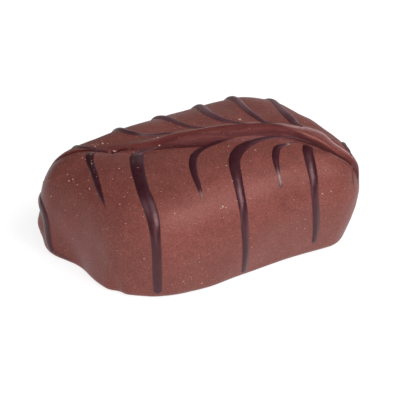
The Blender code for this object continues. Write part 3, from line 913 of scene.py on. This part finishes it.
def make_line(name, at, table, step=0.16):
    side = 1 if name.startswith("far") else -1
    table = sorted(table)
    origin, way, run = cross_section(at)
    # points along the line, evenly spaced along its true path
    dense = np.linspace(table[0][0], table[-1][0], 1600)
    shift = blend_table(table, dense, 1)
    length = np.concatenate([[0], np.cumsum(np.hypot(np.diff(dense), np.diff(shift)))])
    count = max(int(length[-1] / step), 12)
    s = np.interp(np.linspace(0, length[-1], count + 1), length, dense)
    shift, width, height = (blend_table(table, s, c) for c in (1, 2, 3))
    height = height * (0.80 if side < 0 else 1.15)
    shift = shift + (NEAR_SHIFT if side < 0 else FAR_SHIFT)
    width = width + (NEAR_WIDER if side < 0 else FAR_WIDER) * ease(width / 0.5)
    on_cut = s - FAR_PULL * bump((s - 2.0) / 2.2) * (side > 0)
    width, height = rounded(width, height, np.interp(s, dense, length), (False, name in BLUNT))
    ways = np.stack([np.interp(on_cut, run, way[:, i]) for i in range(3)], -1)
    ways /= np.linalg.norm(ways, axis=1, keepdims=True)
    start = origin + np.stack([shift, 0 * shift, 0 * shift], -1)
    q = start + ways * cast(start, ways)[:, None]
    far_sheen = FAR_SHEEN_STRENGTH.get(name, 0.9) if side > 0 else 0.0
    return drape(q, width, height, line_paint(side, s, width, height, PAINTED_SHEEN.get(name, ()), PAINTED_GLINTS.get(name, ()), far_sheen,
                                              WORN.get(name, 0.0)))


def make_end_line(step=0.16):
    """The line over the left end, aimed at from a point inside the body."""
    rows = np.array(END_LINE)
    run = np.concatenate([[0], np.cumsum(np.linalg.norm(np.diff(rows[:, :3], axis=0), axis=1))])
    table = [(r, *row) for r, row in zip(run.tolist(), rows.tolist())]
    s = np.linspace(0, run[-1], int(run[-1] / step))
    aim = np.stack([blend_table(table, s, c) for c in (1, 2, 3)], -1)
    width, height = blend_table(table, s, 4), blend_table(table, s, 5)
    start = np.array([-12.0, 1.0, CENTRE_Z])
    ways = aim - start
    ways /= np.linalg.norm(ways, axis=1, keepdims=True)
    q = start + ways * cast(np.repeat(start[None], len(s), 0), ways)[:, None]
    width, height = rounded(width, height, s, (False, False))
    return drape(q, width, height, line_paint(-1, s, width, height, (), ()))


def make_lines(material):
    verts, faces, paints, base = [], [], [], 0
    parts = [make_line(name, at, table) for name, (at, table) in LINES.items()] + [make_end_line()]
    for v, f, paint in parts:
        verts.append(v)
        paints.append(paint)
        faces += [[i + base for i in face] for face in f]
        base += len(v)
    obj = make_object("dark_lines", np.concatenate(verts), faces, material)
    paints = np.concatenate(paints)
    add_vectors(obj.data, "line", paints[:, :3])
    add_vectors(obj.data, "line_sheen_glints", paints[:, 3:])
    return obj


# -------------------------------------------------------------------- crumbs
# Larger crumbs: the cut that they lie in, way from the crest, size; then those that
# lie on a dark line, with how far the line lifts them
CRUMBS = (
    (5.6, 2.9, 0.36), (-11.1, 1.8, 0.30), (-10.25, -0.25, 0.42), (-10.6, -0.5, 0.22),
    (-4.9, 0.4, 0.24), (-5.1, -0.6, 0.26), (-17.2, -5.9, 0.26), (-16.7, -5.9, 0.26),
    (-15.2, -8.0, 0.26), (12.2, -1.75, 0.20), (1.6, -17.6, 0.40),
    (1.45, -17.9, 0.24), (-1.2, -11.7, 0.30), (-1.5, -11.9, 0.22), (-0.8, -11.8, 0.20),
)


CRUMBS_ON_LINES = (
    (-13.40, -1.75, 0.13, 0.19), (-13.75, -2.35, 0.10, 0.18), (-13.68, -3.05, 0.13, 0.18),
    (-13.82, -3.45, 0.12, 0.17), (-13.80, -3.75, 0.17, 0.17), (-13.92, -4.25, 0.10, 0.17),
    (-13.86, -5.0, 0.12, 0.16), (-13.98, -5.5, 0.10, 0.15), (-13.88, -6.3, 0.10, 0.14),
    (-8.95, -3.35, 0.12, 0.23), (-8.90, -4.75, 0.14, 0.23), (-8.50, -6.4, 0.10, 0.22),
    (-9.75, -13.5, 0.10, 0.20), (1.75, -3.9, 0.14, 0.23), (1.2, -11.5, 0.10, 0.20),
)


def round_grain():
    """Corners and faces of a ball of twenty triangles, split once."""
    g = (1 + math.sqrt(5)) / 2
    v = [(-1, g, 0), (1, g, 0), (-1, -g, 0), (1, -g, 0), (0, -1, g), (0, 1, g),
         (0, -1, -g), (0, 1, -g), (g, 0, -1), (g, 0, 1), (-g, 0, -1), (-g, 0, 1)]
    v = [Vector(c).normalized() for c in v]
    near = min((a - b).length for i, a in enumerate(v) for b in v[:i]) * 1.01
    joined = lambda a, b: (v[a] - v[b]).length < near
    f = []
    for a in range(12):
        for b in range(a + 1, 12):
            for c in range(b + 1, 12):
                if joined(a, b) and joined(b, c) and joined(a, c):
                    out = (v[b] - v[a]).cross(v[c] - v[a]).dot(v[a]) > 0
                    f.append((a, b, c) if out else (a, c, b))
    middle, split = {}, []
    for a, b, c in f:
        m = []
        for i, j in ((a, b), (b, c), (c, a)):
            key = (min(i, j), max(i, j))
            if key not in middle:
                middle[key] = len(v)
                v.append(((v[i] + v[j]) / 2).normalized())
            m.append(middle[key])
        split += [(a, m[0], m[2]), (b, m[1], m[0]), (c, m[2], m[1]), tuple(m)]
    return (np.array([tuple(c) for c in v[:12]]), f), (np.array([tuple(c) for c in v]), split)


def make_crumbs(material):
    """Irregular pale crumbs half sunk in the coat, large ones in place, fine ones scattered."""
    rng = np.random.default_rng(5)
    simple, fuller = round_grain()
    q, size, lift = [], [], []
    for at, v, across, raised in [(*c, 0.0) for c in CRUMBS] + list(CRUMBS_ON_LINES):
        origin, way, run = cross_section(at)
        w = np.stack([np.interp([v], run, way[:, i]) for i in range(3)], -1)
        w /= np.linalg.norm(w)
        q.append(origin + w * cast(origin, w)[:, None])
        size.append([across])
        lift.append([raised])
    # scattered over the body by rays from its middle line, evenly by area
    count = 9000
    start = np.stack([rng.uniform(-14, 14, count), rng.uniform(-5, 5, count), rng.uniform(1, 11, count)], -1)
    w = rng.normal(size=(count, 3))
    w /= np.linalg.norm(w, axis=1, keepdims=True)
    hit = start + w * cast(start, w)[:, None]
    keep = rng.uniform(size=count) < np.interp(hit[:, 0], [-18, -6, 6, 18], [0.25, 0.20, 0.13, 0.12])
    keep &= hit[:, 2] > 0.8
    keep &= (scraped(hit[:, 0], hit[:, 1]) < 0.3) | (hit[:, 2] < 10) | (rng.uniform(size=count) < 0.12)
    # a few gather in loose patches
    patches = hit[rng.choice(count, 22, replace=False)]
    patches = patches[patches[:, 2] > 2.0]
    more = np.repeat(patches, 7, axis=0) + rng.normal(size=(len(patches) * 7, 3)) * 0.55
    middle = np.stack([np.clip(more[:, 0], -12, 12), 0 * more[:, 0], 0 * more[:, 0] + CENTRE_Z], -1)
    w = more - middle
    w /= np.linalg.norm(w, axis=1, keepdims=True)
    extra = middle + w * cast(middle, w)[:, None]
    scattered = np.concatenate([hit[keep], extra])
    q = np.concatenate(q + [scattered])
    size = np.concatenate(size + [0.065 + 0.125 * rng.uniform(size=len(scattered)) ** 4])
    lift = np.concatenate(lift + [np.zeros(len(scattered))])
    on, n = on_coat(q)
    on = on + n * lift[:, None]
    verts, faces, base = [], [], 0
    for centre, up, across in zip(on, n, size):
        ball, tris = fuller if across > 0.16 else simple
        turn = np.linalg.qr(rng.normal(size=(3, 3)))[0]
        if np.linalg.det(turn) < 0:
            turn = -turn
        shape = ball * rng.uniform(0.75, 1.15, size=(len(ball), 1)) * rng.uniform(0.7, 1.25, size=3)
        grain = (shape @ turn.T) * across / 2
        flat = grain - np.outer(grain @ up, up) * 0.35
        verts.append(centre + flat + up * across * 0.12)
        faces += [tuple(i + base for i in f) for f in tris]
        base += len(ball)
    return make_object("pale_crumbs", placed(np.concatenate(verts)), faces, material)


# ---------------------------------------------------------------- the assembly
coat = make_skin(milk_material())
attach(coat, "root")
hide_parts("praline")

lines = make_lines(dark_material())
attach(lines, "root")

crumbs = make_crumbs(crumb_material())
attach(crumbs, "root")

# --------------------------------------------------------- floor, light, camera
bpy.ops.mesh.primitive_plane_add(size=3.0, location=(0, 0, -0.00002))
floor = bpy.context.active_object
floor.name = "table_top"
floor.data.materials.append(floor_material())

LOOK_YAW, LOOK_DOWN, DISTANCE = 29.0, 28.0, 330.0
FOCAL_PIXELS = 8.4 * DISTANCE
target = Vector((OFFSET_X, OFFSET_Y, 7.0))
yaw, down = math.radians(LOOK_YAW), math.radians(LOOK_DOWN)
back = Vector((-math.sin(yaw) * math.cos(down), -math.cos(yaw) * math.cos(down), math.sin(down)))
right = Vector((math.cos(yaw), -math.sin(yaw), 0.0))
above = back.cross(right)
camera_data = bpy.data.cameras.new("camera")
camera_data.sensor_width = 36.0
camera_data.lens = FOCAL_PIXELS / 400 * 36.0
camera_data.clip_start = 0.01
camera_data.clip_end = 10.0
camera = bpy.data.objects.new("camera", camera_data)
place = target - right * ((200.9 - 200.0) / 8.4) - above * ((200.0 - 190.46) / 8.4) + back * DISTANCE
camera.matrix_world = Matrix.Translation(place * MM) @ Matrix((right, above, back)).transposed().to_4x4()
bpy.context.scene.collection.objects.link(camera)
bpy.context.scene.camera = camera


def lamp(name, azimuth, elevation, distance, size, power, colour=(1, 1, 1)):
    """A soft square lamp; azimuth is measured from -Y towards +X."""
    data = bpy.data.lights.new(name, "AREA")
    data.shape = "SQUARE"
    data.size = size
    data.energy = power
    data.color = colour
    obj = bpy.data.objects.new(name, data)
    a, e = math.radians(azimuth), math.radians(elevation)
    way = Vector((math.sin(a) * math.cos(e), -math.cos(a) * math.cos(e), math.sin(e)))
    obj.location = way * distance
    obj.rotation_euler = (-way).to_track_quat("-Z", "Y").to_euler()
    bpy.context.scene.collection.objects.link(obj)
    return obj


lamp("key", 30, 48, 0.9, 0.5, 4.1)
lamp("second", 0, 48, 0.9, 0.5, 4.3)
lamp("front", -30, 12, 0.9, 0.5, 2.0)
lamp("right_back", 120, 12, 0.9, 0.5, 0.85)
lamp("left_back", -120, 12, 0.9, 0.5, 0.45)
lamp("behind", 150, 12, 0.9, 0.5, 0.68)
lamp("top_left", -75, 52, 0.9, 0.5, 0.45)

world = bpy.data.worlds.new("world")
world.use_nodes = True
world.node_tree.nodes["Background"].inputs["Color"].default_value = (1.0, 1.0, 1.0, 1.0)
world.node_tree.nodes["Background"].inputs["Strength"].default_value = 0.045
bpy.context.scene.world = world
bpy.context.scene.view_settings.view_transform = "Standard"
